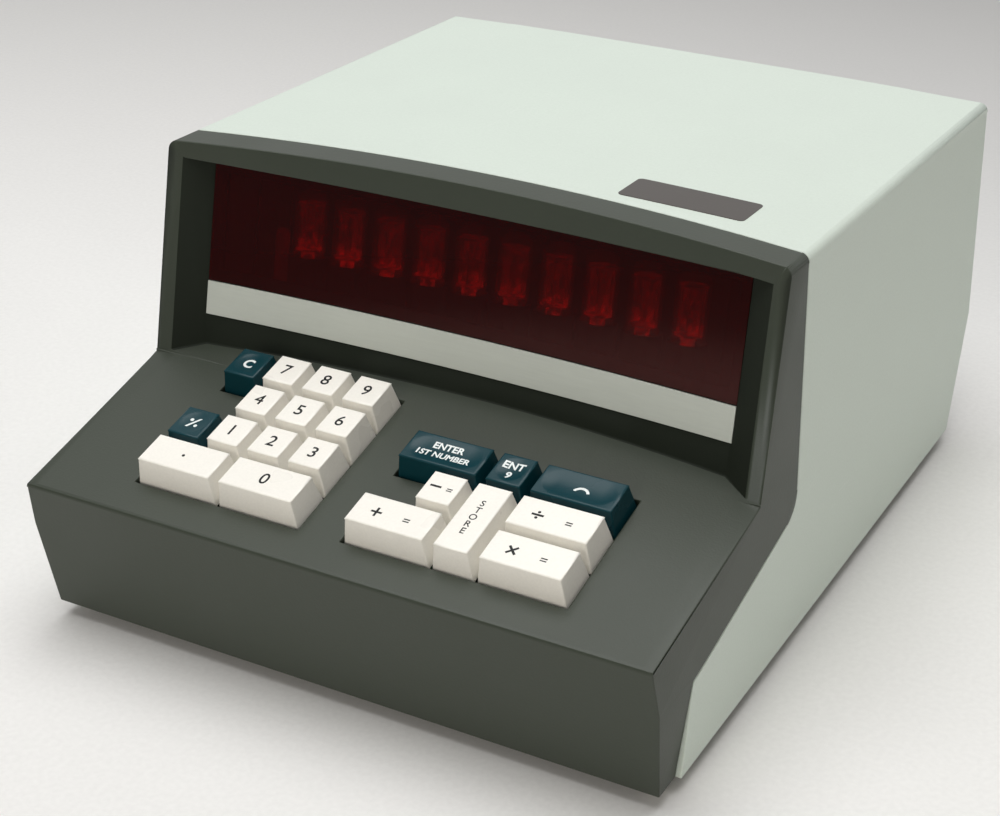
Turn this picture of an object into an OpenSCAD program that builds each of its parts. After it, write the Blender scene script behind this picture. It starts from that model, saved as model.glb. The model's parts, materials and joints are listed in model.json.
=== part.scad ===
// Desktop calculator with a glow tube display: a dark moulded bezel with keys and display,
// a pale cover, a steel base pan and the electronics inside.
// X runs to the right, Y to the back, Z up. The origin is on the table under the middle.

/* [Case] */
// Width across the sides
body_w = 276; // [270:1:300]
// Depth from the front lip to the rear wall
body_d = 335; // [330:1:360]
// Thickness of the moulded walls
wall = 3; // [2.6:0.1:3.4]
// Height of the feet
foot_h = 5; // [4:0.5:8]
// Thickness of the base pan
pan_t = 1.5; // [1:0.1:2]
// Rise of the top between its sides
crown = 2.7; // [1.5:0.1:4]
// Radius of the long top edges
edge_r = 3.75; // [3.5:0.25:6]
// Radius of the rear top edge
rear_r = 7; // [4:0.5:10]
// Fall of the top to the rear, in degrees
top_fall = 2.9; // [2:0.1:3.5]
// Height of the upright part of the rear wall above the base
rear_knee = 54; // [50:1:58]
// How far the slanted part of the rear goes in at the base
rear_in = 20; // [16:1:22]
// Gap along the seam between bezel and cover
seam_gap = 0.3; // [0.2:0.05:0.5]

/* [Deck] */
// Height of the front lip above the base
lip_h = 60; // [57:0.5:64]
// Radius of the front lip
lip_r = 2; // [1:0.25:3]
// Slope of the deck, in degrees
deck_slope = 13; // [12:0.25:14]
// Length of the deck along its slope, from the lip to the display face
deck_len = 88; // [87:0.5:92]
// Backward slope of the apron below the lip, in degrees
apron_slope = 9; // [7:0.2:11]
// Width of the bezel's side strip below the deck
strip_h = 29.5; // [28:0.5:32]
// Depth of the bezel's side strip at the base
strip_foot = 13; // [12:0.5:16]
// Height of the crease on the bezel's sides above the base
crease_h = 41.5; // [40:0.5:43]
// How far the bezel's sides go in below the crease
facet_in = 2.3; // [1.5:0.1:2.6]
// How far the bezel's sides go in at the lip
lip_in = 1.3; // [0.8:0.1:1.6]

/* [Display] */
// Backward lean of the display face, in degrees
face_lean = 13.3; // [12:0.1:14]
// Height of the display face along its lean
face_h = 89; // [87:0.5:92]
// Radius of the hollow face, seen from above
face_r = 1050; // [950:10:1300]
// Depth of the bezel beside the display, at its top
face_depth = 16; // [15:0.5:18]
// Depth of the display recess
recess_d = 6.5; // [5.5:0.25:7.5]
// Width of the frame beside the recess
frame_w = 5.5; // [4.5:0.25:7]
// Height of the frame above the recess
frame_h = 6.5; // [5.5:0.25:8]
// Height of the lower edge of the name strip above the deck's corner
strip_z = 17; // [16:0.1:18.5]
// Height of the name strip
strip_tall = 14.8; // [14:0.2:16]
// Thickness of the red window
window_t = 2.5; // [2:0.1:3]
// Number of digit tubes
tubes = 10; // [8:1:10]
// Spacing of the digit tubes
tube_pitch = 19.5; // [18.5:0.1:19.8]
// Radius of a digit tube
tube_r = 7; // [6.5:0.1:7.4]

/* [Keys] */
// Spacing of the keys across the deck
key_pitch = 19.05; // [18.8:0.05:19.3]
// Spacing of the rows of keys
row_pitch = 19.6; // [19.3:0.05:19.8]
// Distance from the lip to the middle of the front row
row_start = 25; // [24:0.25:26]
// Width of a key's top face
key_top_w = 14; // [13.6:0.1:14.4]
// Depth of a key's top face
key_top_d = 15; // [14.6:0.1:15.2]
// Height of a key's top above the deck
key_rise = 10.8; // [9:0.2:12]
// Slope of a key's sides, in degrees
key_draft = 7.6; // [6:0.2:7.8]
// Radius of a key's top edges
key_edge_r = 0.8; // [0.5:0.1:1.2]
// How much lower a dished key's top lies
dish_drop = 1.5; // [0.5:0.1:2]
// Depth of the hollow in a dished key
dish = 0.6; // [0.4:0.1:0.8]
// Travel of a key
key_travel = 4; // [3:0.25:4]

/* [Hidden] */
$fn = 64;
// Steps round the wide arcs of the face and the crown
wide_fn = 2880;
// Gap between fixed pieces that seat on each other
seat = 0.1;
// Gap around moving pieces
clear = 0.5;
// Reach of a cutting shape beyond what it cuts
over = 20;
// How far a rib, post or boss runs into the wall that carries it
root = 0.5;
half_w = body_w / 2;
inner_w = body_w - 2 * wall;
y_lip = -body_d / 2;
y_rear = body_d / 2;
z_pan = foot_h + pan_t;
z_case = z_pan + seat;
z_lip = foot_h + lip_h;
crease_z = foot_h + crease_h;

// Front lip: the arc between the apron and the deck
lip_y = y_lip + lip_r;
deck_y = lip_y - lip_r * sin(deck_slope);
deck_z = z_lip + lip_r * cos(deck_slope);
apron_y = lip_y - lip_r * cos(apron_slope);
apron_z = z_lip - lip_r * sin(apron_slope);
foot_y = apron_y + (apron_z - z_case) * tan(apron_slope);
// Corner of deck and display face, and the top of the face
fold_y = deck_y + deck_len * cos(deck_slope);
fold_z = deck_z + deck_len * sin(deck_slope);
top_y = fold_y + face_h * sin(face_lean);
top_z = fold_z + face_h * cos(face_lean);
seam_y = top_y + face_depth;
// Crown of the top as an arc, with its centre below
crown_r = (half_w * half_w + crown * crown) / (2 * crown);
crown_z = crown - crown_r;
case_deep = 260;
// Radius inside the long top edges
inner_r = 2;
// How far a top edge's arc stands above the crown, so that the two arcs cross
lap = 0.02;
// Rear wall
knee_z = foot_h + rear_knee;
rear_angle = atan(rear_in / (knee_z - z_case));
rear_len = (knee_z - z_case) / cos(rear_angle);
rear_top_z = top_z + crown - (y_rear - top_y) * tan(top_fall);
// Seam on the side: along the deck, round a corner and up
seam_corner = 12;
seam_front_v = 24;
seam_front_y = deck_y + seam_front_v * cos(deck_slope) + strip_h * sin(deck_slope);
seam_front_z = deck_z + seam_front_v * sin(deck_slope) - strip_h * cos(deck_slope);
seam_low_z = seam_front_z + (seam_y - seam_front_y) * tan(deck_slope);
seam_arc_y = seam_y - seam_corner;
seam_arc_z = seam_low_z - seam_corner * tan(deck_slope) + seam_corner / cos(deck_slope);

// Display face: its arc's centre and the layers behind it
face_c = -sqrt(face_r * face_r - half_w * half_w);
window_top = face_h - frame_h;
window_z = strip_z + strip_tall;
reveal_run = 11.5;
reveal_rise = 7.9;
panel_half = half_w - frame_w - reveal_run - 0.5;
panel_t = 2.5;
panel_back = recess_d + window_t + panel_t;
ledge = 5;
strip_t = 1.2;
strip_proud = 0.4;
deck_t = 3;
band_front = 6.5;
band_back = 10;
band_tilt = 5;
// Display board and tubes, in the frame of the display face
board_t = 1.6;
board_v = 30;
board_y = 21.5;
board_deep = 36;
board_half = 108;
tube_y = 34;
tube_base = board_v + board_t;
tube_foot = tube_base + 12;
tube_top = 74;
glass_t = 0.8;
lamp_r = 3;
lamp_x = -(tubes / 2) * tube_pitch - lamp_r - 0.5;
screen_y = 46;
screen_t = 1;
screen_top = 78;
ribs = [-96, 0, 96];
rib_w = 7;
rib_root = 24;
rib_tip = 6;

// Keyboard under the deck, in the frame of the deck
cols = 10;
col_x = -(cols - 1) / 2 * key_pitch;
skirt = 3;
skirt_out = (key_rise + skirt) * tan(key_draft);
cap_t = 1.4;
roof_t = 2.4;
stem_w = 5;
stem_end = 12;
switch_top = skirt + key_travel + 1;
switch_h = 12;
switch_w = 14;
well_floor = 1.5;
key_board_w = switch_top + switch_h;
key_board_half = 118;
key_board_v = 10;
key_board_len = 88;
boss_r = 3.5;
pilot_r = 1.3;
screw_r = 1.2;
screw_gap = 0.3;
head_r = 2.8;
head_h = 1.6;
boss_x = 112;
boss_rows = [16, 92];
spare_x = col_x + 4 * key_pitch;
key_bosses = [for (x = [-boss_x, spare_x, boss_x], v = boss_rows) [x, v]];
// Column, row counted from the front, columns wide and rows deep of each key
point_at = [0, 0, 2, 1];
zero_at = [2, 0, 2, 1];
percent_at = [0, 1, 1, 1];
clear_at = [0, 3, 1, 1];
plus_at = [5, 0, 2, 1];
minus_at = [6, 1, 1, 1];
store_at = [7, 0, 1, 2];
times_at = [8, 0, 2, 1];
divide_at = [8, 1, 2, 1];
enter_at = [5, 2, 2, 1];
ent_at = [7, 2, 1, 1];
arc_at = [8, 2, 2, 1];
digits_at = [for (n = [0 : 8]) [1 + n % 3, 1 + floor(n / 3), 1, 1]];
keys_at = concat(digits_at, [point_at, zero_at, percent_at, clear_at, plus_at, minus_at,
    store_at, times_at, divide_at, enter_at, ent_at, arc_at]);

// Posts for the screws that hold bezel and cover to the pan
post = 10;
post_h = 25;
post_in = 14;
post_x = half_w - wall - post / 2 + root;
bezel_post_x = post_x - facet_in / 2;
bezel_post_y = foot_y + strip_foot - post / 2 - 1;
cover_post_y = [seam_y + post_in, y_rear - rear_in - post_in];
apron_post_x = 48;
apron_post_y = foot_y + post_in;
foot_in = 34;
feet_y = [foot_y + foot_in, y_rear - rear_in - foot_in];
feet_at = [for (s = [-1, 1], y = feet_y) [s * (half_w - foot_in), y]];
foot_r = 9;
flange_h = 12;
pan_edge = facet_in + 1.2;

// Electronics on the pan
standoff_h = 6;
standoff_r = 3;
plane_z = z_pan + standoff_h;
plane_half = inner_w / 2 - 31;
plane_y = seam_y + 45.7;
card_pitch = 20;
card_edge = 12;
card_half = plane_half - card_edge;
card_h = 104;
socket_h = 10;
socket_w = 8;
slot_z = 2;
rail_w = 8;
chip = [20, 4, 8];
chip_rows = 4;
chip_pitch = [28, 20];
chip_cols = floor((2 * card_half - rail_w) / chip_pitch[0]);
chip_z = 22;
core = [64, 40, 54];
coil_out = 9;
core_yoke = 10;
core_leg = 14;
core_win = [core[0] / 2 - core_leg - 2, core[2] - 2 * core_yoke];
rear_room = 2.5;
power_x = inner_w / 2 - 77;
transformer_at = [-power_x, y_rear - rear_in - rear_room - coil_out - core[1] / 2];
power_size = [112, 44];
power_at = [power_x, y_rear - rear_in - rear_room - 10 - power_size[1] / 2];
// As many cards as the room between display and transformer takes
cards = floor((transformer_at[1] - core[1] / 2 - coil_out - plane_y) / card_pitch);
card_y = plane_y + card_edge;
plane_len = cards * card_pitch + 4;
can_r = 13;
can_h = 46;
can_pitch = 30;
// Rear panel, in the frame of the slanted rear
rear_inset = 2;
rear_t = 2;
rear_gap = 0.4;
rear_lip = 2.5;
rear_face = -rear_inset - rear_t;
inlet_at = [27 - inner_w / 2, 26];
inlet_size = [28, 22];
inlet_deep = 24;
switch_at = [inner_w / 2 - 73, 27];
switch_size = [16, 24];
switch_deep = 20;
rocker_r = 8.4;
rocker_turn = 12;
pin_r = 1.5;
pin_len = 2;
fuse_at = [inner_w / 2 - 35, 27];
fuse_r = 6.5;
vents = 9;
vent_pitch = 8;
vent_x = -36;
vent_w = 3;
vent_h = 30;
vent_z = 12;

// Extrudes an outline drawn in Y and Z across the width w
module along_x(w) rotate([90, 0, 90]) translate([0, 0, -w / 2]) linear_extrude(w) children();
// Extrudes an outline drawn in X and Z over the depth d from Y = 0
module along_y(d) rotate([90, 0, 0]) translate([0, 0, -d]) linear_extrude(d) children();
// Frame of the deck: Y up the slope from the lip, Z square to the deck
module on_deck() translate([0, deck_y, deck_z]) rotate([deck_slope, 0, 0]) children();
// Frame of the display face: Y into the case, Z up the face
module on_face() translate([0, fold_y, fold_z]) rotate([-face_lean, 0, 0]) children();
// Frame of the slanted rear: Y outwards, Z up the slant
module on_rear() translate([0, y_rear - rear_in, z_case]) rotate([-rear_angle, 0, 0]) children();
// The same on the left and on the right
module both_sides() {
    children();
    mirror([1, 0, 0]) children();
}
// Disc of the hollow face's arc, moved back by d
module face_disc(d) translate([0, face_c]) circle(face_r + d, $fn = wide_fn);
// Layer of the hollow face between two depths, w wide and from v0 to v1 up the face
module face_layer(d0, d1, w, v0, v1) {
    translate([0, 0, v0])
        linear_extrude(v1 - v0)
            intersection() {
                difference() {
                    face_disc(d1);
                    face_disc(d0);
                }
                translate([-w, -over]) square([2 * w, 4 * over]);
            }
}

// Outline of the case from the side, with a round rear top edge
module side_outline() {
    round_y = y_rear - rear_r;
    round_z = rear_top_z + rear_r * tan(top_fall) - rear_r / cos(top_fall);
    high = top_z + over;
    difference() {
        union() {
            polygon([[foot_y, z_case], [apron_y, apron_z], [lip_y, z_lip], [deck_y, deck_z],
                [fold_y, fold_z], [fold_y + (high - fold_z) * tan(face_lean), high], [y_rear, high],
                [y_rear, knee_z], [y_rear - rear_in, z_case]]);
            translate([lip_y, z_lip]) circle(lip_r);
        }
        difference() {
            translate([round_y, round_z]) square([rear_r + 1, 3 * over]);
            translate([round_y, round_z]) circle(rear_r);
        }
    }
}
// Cross-section of the case, crowned and with round top edges, set in by t
module crown_outline(t, r) {
    big = crown_r - t;
    w = half_w - t;
    x = w - r;
    z = crown_z + sqrt((big - r) * (big - r) - x * x) + lap;
    difference() {
        intersection() {
            translate([0, crown_z]) circle(big, $fn = wide_fn);
            translate([-w, -case_deep]) square([2 * w, case_deep + over]);
        }
        both_sides()
            difference() {
                translate([x, z]) square(over);
                translate([x, z]) circle(r);
            }
    }
}
module crowned(t, r) {
    translate([0, top_y, top_z])
        rotate([-top_fall, 0, 0])
            translate([0, -body_d, 0])
                along_y(2 * body_d) crown_outline(t, r);
}
module envelope() {
    intersection() {
        along_x(2 * body_w) side_outline();
        crowned(0, edge_r);
    }
}

// The part of the side view that belongs to the bezel, with a round corner at the seam
module bezel_side() {
    low = -over;
    high = top_z + 2 * over;
    seam_foot = foot_y + strip_foot;
    arc_low_y = seam_arc_y + seam_corner * sin(deck_slope);
    arc_low_z = seam_arc_z - seam_corner * cos(deck_slope);
    difference() {
        polygon([[y_lip - over, low], [seam_foot, low], [seam_foot, z_case], [seam_front_y, seam_front_z],
            [seam_y, seam_low_z], [seam_y, high], [y_lip - over, high]]);
        difference() {
            polygon([[seam_arc_y, seam_arc_z], [arc_low_y, arc_low_z], [seam_y + 1, seam_low_z - 1],
                [seam_y + 1, seam_arc_z]]);
            translate([seam_arc_y, seam_arc_z]) circle(seam_corner);
        }
    }
}
// Space of the bezel, whose top ends in a hollow curve
module bezel_space() {
    curve_c = seam_y - sqrt(face_r * face_r - half_w * half_w);
    along_x(2 * body_w) bezel_side();
    intersection() {
        translate([0, curve_c, fold_z]) cylinder(r = face_r, h = body_d, $fn = wide_fn);
        translate([-half_w, y_lip, fold_z]) cube([body_w, body_d, body_d]);
    }
}
// Wedge outside the bezel's sides below the crease, moved in by t
module side_facet(t) {
    tilt = atan(facet_in / (crease_z - z_case));
    both_sides()
        translate([half_w - t, 0, crease_z])
            rotate([0, tilt, 0])
                translate([0, -body_d, -crease_z - over]) cube([over, 2 * body_d, crease_z + over]);
}
// Wedge outside the bezel's sides from the crease to the lip, moved in by t
module lip_facet(t) {
    low_y = foot_y - (crease_z - z_case) * tan(apron_slope);
    rise = atan2(fold_z - crease_z, fold_y - low_y);
    high = (z_lip - crease_z) * cos(rise) + (low_y - lip_y) * sin(rise);
    long = norm([fold_y - low_y, fold_z - crease_z]);
    both_sides()
        translate([half_w - t, low_y, crease_z])
            rotate([rise, 0, 0])
                rotate([0, -atan(lip_in / high), 0])
                    translate([0, -over, 0]) cube([over, long + over, body_d]);
}
module above_deck() on_deck() translate([-body_w, -body_d, 0]) cube([2 * body_w, 2 * body_d, body_d]);

// Display recess: hollow face, splayed reveals, seats for window and name strip, and the opening
module display_cut() {
    open_x = half_w - frame_w + reveal_run / reveal_rise;
    deep = 18;
    narrow = open_x - (deep + 1) * reveal_run / reveal_rise;
    intersection() {
        above_deck();
        on_face() {
            translate([0, 0, -over]) linear_extrude(face_h + 2 * over) face_disc(0);
            translate([0, 0, -over])
                linear_extrude(window_top + over)
                    intersection() {
                        face_disc(recess_d);
                        polygon([[-open_x, -1], [open_x, -1], [narrow, deep], [-narrow, deep]]);
                    }
        }
    }
    on_face() {
        face_layer(0, recess_d + window_t + seat, panel_half, window_z, window_top);
        face_layer(0, recess_d + strip_t - strip_proud + seat, panel_half, strip_z, window_z + seat);
        translate([ledge - panel_half, 0, window_z + ledge])
            cube([2 * (panel_half - ledge), 2 * over, window_top - window_z - 2 * ledge]);
    }
}
// Hollow of the bezel under the deck and behind the display
module bezel_core() {
    in_y = apron_y + wall / cos(apron_slope);
    slope_y = foot_y + wall / cos(apron_slope) + (z_case + over) * tan(apron_slope);
    under_z = deck_z - deck_t / cos(deck_slope);
    far_y = fold_y + (face_r + face_c + panel_back) / cos(face_lean) + wall;
    corner_z = under_z + (in_y - deck_y) * tan(deck_slope);
    along_x(inner_w)
        polygon([[slope_y, -over], [in_y, corner_z], [far_y, under_z + (far_y - deck_y) * tan(deck_slope)],
            [far_y, -over]]);
    intersection() {
        crowned(wall, inner_r);
        on_face()
            translate([0, 0, -3 * over])
                linear_extrude(body_d)
                    difference() {
                        translate([-body_w, 0]) square([2 * body_w, body_d]);
                        face_disc(panel_back);
                    }
    }
}
// Openings round the blocks of keys
module key_openings() {
    grow_x = 0.05;
    grow_v = 0.4;
    for (k = keys_at) {
        x = col_x + (k[0] - 0.5) * key_pitch - grow_x;
        v = row_start + (k[1] - 0.5) * row_pitch - grow_v;
        translate([x, v, -over])
            cube([k[2] * key_pitch + 2 * grow_x, k[3] * row_pitch + 2 * grow_v, 2 * over]);
    }
}
// Shallow bands that fall away along the sides of the deck
module deck_bands() {
    turn = atan((band_back - band_front) / deck_len);
    both_sides()
        translate([half_w - band_front, 0, 0])
            rotate([0, 0, turn])
                rotate([0, band_tilt, 0])
                    translate([0, -over, 0]) cube([over, deck_len + over - 1, over]);
}
// Upright block with a pilot hole from below, joined to a wall
module screw_post(x, y) {
    translate([x, y, z_case])
        difference() {
            translate([-post / 2, -post / 2, 0]) cube([post, post, post_h]);
            translate([0, 0, -1]) cylinder(r = pilot_r, h = post_h - 2);
        }
}
module front_bezel() {
    color("dimgray") {
        difference() {
            intersection() {
                envelope();
                bezel_space();
            }
            difference() {
                bezel_core();
                side_facet(wall);
                lip_facet(wall);
            }
            side_facet(0);
            lip_facet(0);
            display_cut();
            on_deck() key_openings();
            on_deck() deck_bands();
        }
        on_deck()
            for (b = key_bosses)
                translate([b[0], b[1], -key_board_w])
                    difference() {
                        cylinder(r = boss_r, h = key_board_w - deck_t + root);
                        translate([0, 0, -1]) cylinder(r = pilot_r, h = key_board_w - deck_t);
                    }
        on_face() for (x = ribs) board_rib(x);
        both_sides() {
            screw_post(bezel_post_x, bezel_post_y);
            screw_post(apron_post_x, apron_post_y);
            apron_web();
        }
    }
}
// Web from the apron to the post behind it
module apron_web() {
    web = 4;
    front = foot_y + wall - root;
    back = apron_post_y - post / 2 + root;
    high = z_case + post_h;
    translate([apron_post_x, 0, 0])
        along_x(web)
            polygon([[front, z_case], [back, z_case], [back, high],
                [front - post_h * tan(apron_slope), high]]);
}
// Rib behind the display panel that carries the display board
module board_rib(x) {
    back = face_c + sqrt(face_r * face_r - x * x) + panel_back;
    rib_end = board_y + board_deep - 1;
    difference() {
        translate([x, 0, 0])
            along_x(rib_w)
                polygon([[back - 1, board_v - rib_root], [back - 1, board_v], [rib_end, board_v],
                    [rib_end, board_v - rib_tip]]);
        translate([x, board_screw_y(), board_v - 10]) cylinder(r = pilot_r, h = 11);
    }
}
function board_screw_y() = screen_y + screen_t + head_r + clear;

module top_cover() {
    high = top_z + 2 * over;
    color("honeydew") {
        difference() {
            envelope();
            translate([0, seam_gap, -seam_gap]) bezel_space();
            intersection() {
                crowned(wall, inner_r);
                along_x(body_w)
                    polygon([[y_lip, -over], [y_lip, high], [y_rear - wall, high], [y_rear - wall, -over]]);
            }
            on_rear()
                translate([-inner_w / 2, -over, -over])
                    cube([inner_w, 3 * over, rear_len + over - rear_lip]);
        }
        both_sides() {
            for (y = cover_post_y) screw_post(post_x, y);
            on_rear() for (v = panel_screw_v()) panel_ledge(v);
        }
    }
}
function panel_screw_v() = [14, rear_len - 12];
// Ledge on the cover's side wall for a screw of the rear panel
module panel_ledge(v) {
    long = 10;
    deep = 6;
    difference() {
        translate([inner_w / 2 - long, rear_face - seat - deep, v - 4]) cube([long + 0.5, deep, 8]);
        translate([panel_screw_x(), rear_face + 1, v]) rotate([90, 0, 0]) cylinder(r = pilot_r, h = deep);
    }
}
function panel_screw_x() = inner_w / 2 - 5;

module base_pan() {
    front = foot_y + pan_edge;
    long = y_rear - rear_in - pan_edge - front;
    flange_y = [cover_post_y[0] + post, cover_post_y[1] - post];
    slots = 8;
    color("slategray")
        difference() {
            union() {
                translate([pan_edge - half_w, front, foot_h]) cube([body_w - 2 * pan_edge, long, pan_t]);
                both_sides()
                    translate([inner_w / 2 - 1 - pan_t, flange_y[0], foot_h])
                        cube([pan_t, flange_y[1] - flange_y[0], flange_h]);
            }
            for (p = concat(case_screws_at(), feet_at))
                translate([p[0], p[1], 0]) cylinder(r = screw_r + screw_gap, h = z_pan + 1);
            for (n = [0 : slots - 1])
                translate([(n - slots / 2) * 12 + 4, -40, 0]) cube([4, 30, z_pan + 1]);
        }
}
function case_screws_at() = [for (s = [-1, 1]) each [[s * bezel_post_x, bezel_post_y],
    [s * apron_post_x, apron_post_y], [s * post_x, cover_post_y[0]], [s * post_x, cover_post_y[1]]]];

// Pan head screw with its head below Z = 0
module screw(long) {
    translate([0, 0, -head_h])
        difference() {
            union() {
                cylinder(r = head_r, h = head_h);
                cylinder(r = screw_r, h = head_h + long);
            }
            translate([-head_r, -0.4, -1]) cube([2 * head_r, 0.8, 1.8]);
        }
}
module case_screws() {
    color("silver") for (p = case_screws_at()) translate([p[0], p[1], foot_h]) screw(post_h - 8);
}
module feet() {
    color("black")
        for (p = feet_at)
            translate([p[0], p[1], 0])
                difference() {
                    cylinder(r1 = foot_r - 1.2, r2 = foot_r, h = foot_h);
                    translate([0, 0, -1]) cylinder(r = head_r + 1, h = foot_h - 0.5);
                    cylinder(r = screw_r + screw_gap, h = foot_h + 1);
                }
}
module foot_screws() {
    color("silver") for (p = feet_at) translate([p[0], p[1], foot_h - 1.5]) screw(pan_t + 5);
}

module rear_panel() {
    w = inner_w - 2 * rear_gap;
    color("dimgray")
        on_rear()
            difference() {
                translate([-w / 2, rear_face, root]) cube([w, rear_t, rear_len - rear_lip - 2 * root]);
                for (n = [0 : vents - 1])
                    translate([vent_x + n * vent_pitch, rear_face - 1, vent_z])
                        cube([vent_w, rear_t + 2, vent_h]);
                rear_hole(inlet_at, inlet_size + [seat, seat] * 2);
                rear_hole(switch_at, switch_size + [seat, seat] * 2);
                translate([fuse_at[0], 0, fuse_at[1]])
                    rotate([90, 0, 0]) cylinder(r = fuse_r + seat, h = over);
                both_sides()
                    for (v = panel_screw_v())
                        translate([panel_screw_x(), 0, v])
                            rotate([90, 0, 0]) cylinder(r = screw_r + screw_gap, h = over);
            }
}
module rear_hole(at, size) {
    translate([at[0], 0, at[1]]) centred_block(size, rear_face - 1, 1 - rear_inset);
}
module panel_screws() {
    color("silver")
        on_rear()
            both_sides()
                for (v = panel_screw_v())
                    translate([panel_screw_x(), -rear_inset, v]) rotate([90, 0, 0]) screw(rear_t + 4);
}
// Appliance inlet: flange, body and the well for the plug
module mains_inlet() {
    well = inlet_size - [6, 6];
    rim = 3;
    color("black")
        on_rear()
            translate([inlet_at[0], 0, inlet_at[1]])
                difference() {
                    union() {
                        centred_block(inlet_size, rear_face - inlet_deep, -rear_inset);
                        centred_block(inlet_size + [rim, rim] * 2, -rear_inset, 0);
                    }
                    centred_block(well, rear_face - inlet_deep + 6, 1);
                }
}
module inlet_pins() {
    color("gold")
        on_rear()
            translate([inlet_at[0], rear_face - inlet_deep + 6, inlet_at[1]])
                for (p = [[-7, -2], [7, -2], [0, 3]])
                    translate([p[0], 0, p[1]]) rotate([-90, 0, 0]) cylinder(r = 1.2, h = 14);
}
// Block between two depths, centred in X and Z
module centred_block(size, y0, y1) {
    translate([-size[0] / 2, y0, -size[1] / 2]) cube([size[0], y1 - y0, size[1]]);
}
module fuse_holder() {
    color("black")
        on_rear()
            translate([fuse_at[0], 0, fuse_at[1]])
                rotate([-90, 0, 0])
                    difference() {
                        union() {
                            translate([0, 0, -28]) cylinder(r = fuse_r, h = 28 - rear_inset);
                            translate([0, 0, -rear_inset]) cylinder(r = fuse_r + 2, h = 2);
                        }
                        translate([0, 0, -26]) cylinder(r = fuse_r - 2, h = 30);
                    }
}
module fuse_cap() {
    cap_h = 6;
    color("black")
        on_rear()
            translate([fuse_at[0], 0, fuse_at[1]])
                rotate([-90, 0, 0])
                    difference() {
                        union() {
                            translate([0, 0, 2 - rear_inset]) cylinder(r = fuse_r, h = cap_h);
                            translate([0, 0, -14]) cylinder(r = fuse_r - 2.3, h = 15);
                        }
                        translate([-1, -fuse_r, cap_h - 1.5]) cube([2, 2 * fuse_r, 4]);
                    }
}
// Switch housing with a round-bottomed well and bearings for the rocker
module power_switch() {
    color("black")
        on_rear()
            translate([switch_at[0], 0, switch_at[1]])
                difference() {
                    union() {
                        centred_block(switch_size, rear_face - switch_deep, -rear_inset);
                        centred_block(switch_size + [4, 4], -rear_inset, 0);
                    }
                    translate([0, rocker_axis(), 0])
                        along_x(rocker_w() + 2 * clear) circle(rocker_r + clear);
                    centred_block([rocker_w() + 2 * clear, 2 * (rocker_r + clear)], rocker_axis(), 1);
                    translate([0, rocker_axis(), 0])
                        along_x(rocker_w() + 2 * pin_len + 2 * clear) circle(pin_r + clear);
                }
}
function rocker_axis() = -rear_inset - 4;
function rocker_w() = switch_size[0] - 6;
// Rocker: a drum with two finger faces that meet in a shallow valley, turned to off
module power_rocker() {
    color("firebrick")
        on_rear()
            translate([switch_at[0], rocker_axis(), switch_at[1]])
                rotate([-rocker_turn, 0, 0]) {
                    along_x(rocker_w())
                        difference() {
                            circle(rocker_r);
                            polygon([[4, 0], [rocker_r, 12], [over, 12], [over, -12], [rocker_r, -12]]);
                        }
                    along_x(rocker_w() + 2 * pin_len) circle(pin_r);
                }
}

module display_window() {
    color([0.35, 0.02, 0.04])
        on_face()
            face_layer(recess_d, recess_d + window_t, panel_half - 0.3, window_z + 0.3, window_top - 0.3);
}
module name_strip() {
    front = recess_d - strip_proud;
    color("silver")
        on_face() face_layer(front, front + strip_t, panel_half - 0.3, strip_z + 0.3, window_z - 0.2);
}
module display_board() {
    color("darkgreen")
        on_face()
            difference() {
                translate([-board_half, board_y, board_v]) cube([2 * board_half, board_deep, board_t]);
                for (x = ribs)
                    translate([x, board_screw_y(), 0]) cylinder(r = screw_r + screw_gap, h = face_h);
            }
}
module display_screws() {
    color("silver")
        on_face()
            for (x = ribs)
                translate([x, board_screw_y(), tube_base]) rotate([180, 0, 0]) screw(board_t + 7);
}
function tube_x(n) = (n - (tubes - 1) / 2) * tube_pitch;
module at_tubes() {
    on_face() for (n = [0 : tubes - 1]) translate([tube_x(n), tube_y, 0]) children();
}
module tube_sockets() {
    lip = 1.2;
    color("black")
        at_tubes()
            difference() {
                translate([0, 0, tube_base]) cylinder(r = tube_r + lip, h = tube_foot - tube_base + 1.5);
                translate([0, 0, tube_foot]) cylinder(r = tube_r + seat, h = 5);
            }
}
// Glass bell with a domed top and the sealed tip above it
module tube_glass() {
    dome = tube_r * 0.55;
    color("lightblue", 0.4)
        at_tubes()
            rotate_extrude()
                difference() {
                    glass_outline(tube_r, tube_top - dome, dome);
                    glass_outline(tube_r - glass_t, tube_top - dome, dome - glass_t);
                }
}
module glass_outline(r, z, d) {
    big = (r * r + d * d) / (2 * d);
    translate([0, tube_foot]) square([r, z - tube_foot]);
    intersection() {
        translate([0, z + d - big]) circle(big);
        translate([0, z]) square([r, d + 1]);
    }
}
// Electrodes: stem, two insulating discs, wire posts, the gauze behind and the numeral stack
module tube_electrodes() {
    r = tube_r - glass_t - 0.6;
    low = tube_foot + 4;
    high = tube_top - 7;
    color("dimgray")
        at_tubes() {
            translate([0, 0, tube_foot]) cylinder(r = 3, h = low - tube_foot + 0.2);
            for (z = [low, high]) translate([0, 0, z]) cylinder(r = r, h = 0.6);
            for (x = [-4.4, 4.4]) translate([x, 0, low]) cylinder(r = 0.35, h = high - low + 0.3);
            translate([0, 0, low + 0.3])
                linear_extrude(high - low)
                    difference() {
                        circle(r - 0.2);
                        circle(r - 0.6);
                        translate([-r, -2 * r]) square([2 * r, 2 * r]);
                    }
            for (n = [0 : 4]) translate([-0.3, n - 2.5, low + 0.3]) cube([0.6, 0.3, high - low]);
        }
}
// Small neon lamp beside the first tube
module indicator_lamp() {
    h = 20;
    color("orangered")
        on_face()
            translate([lamp_x, tube_y, tube_base]) {
                cylinder(r = lamp_r, h = h);
                translate([0, 0, h]) sphere(lamp_r);
            }
}
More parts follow.
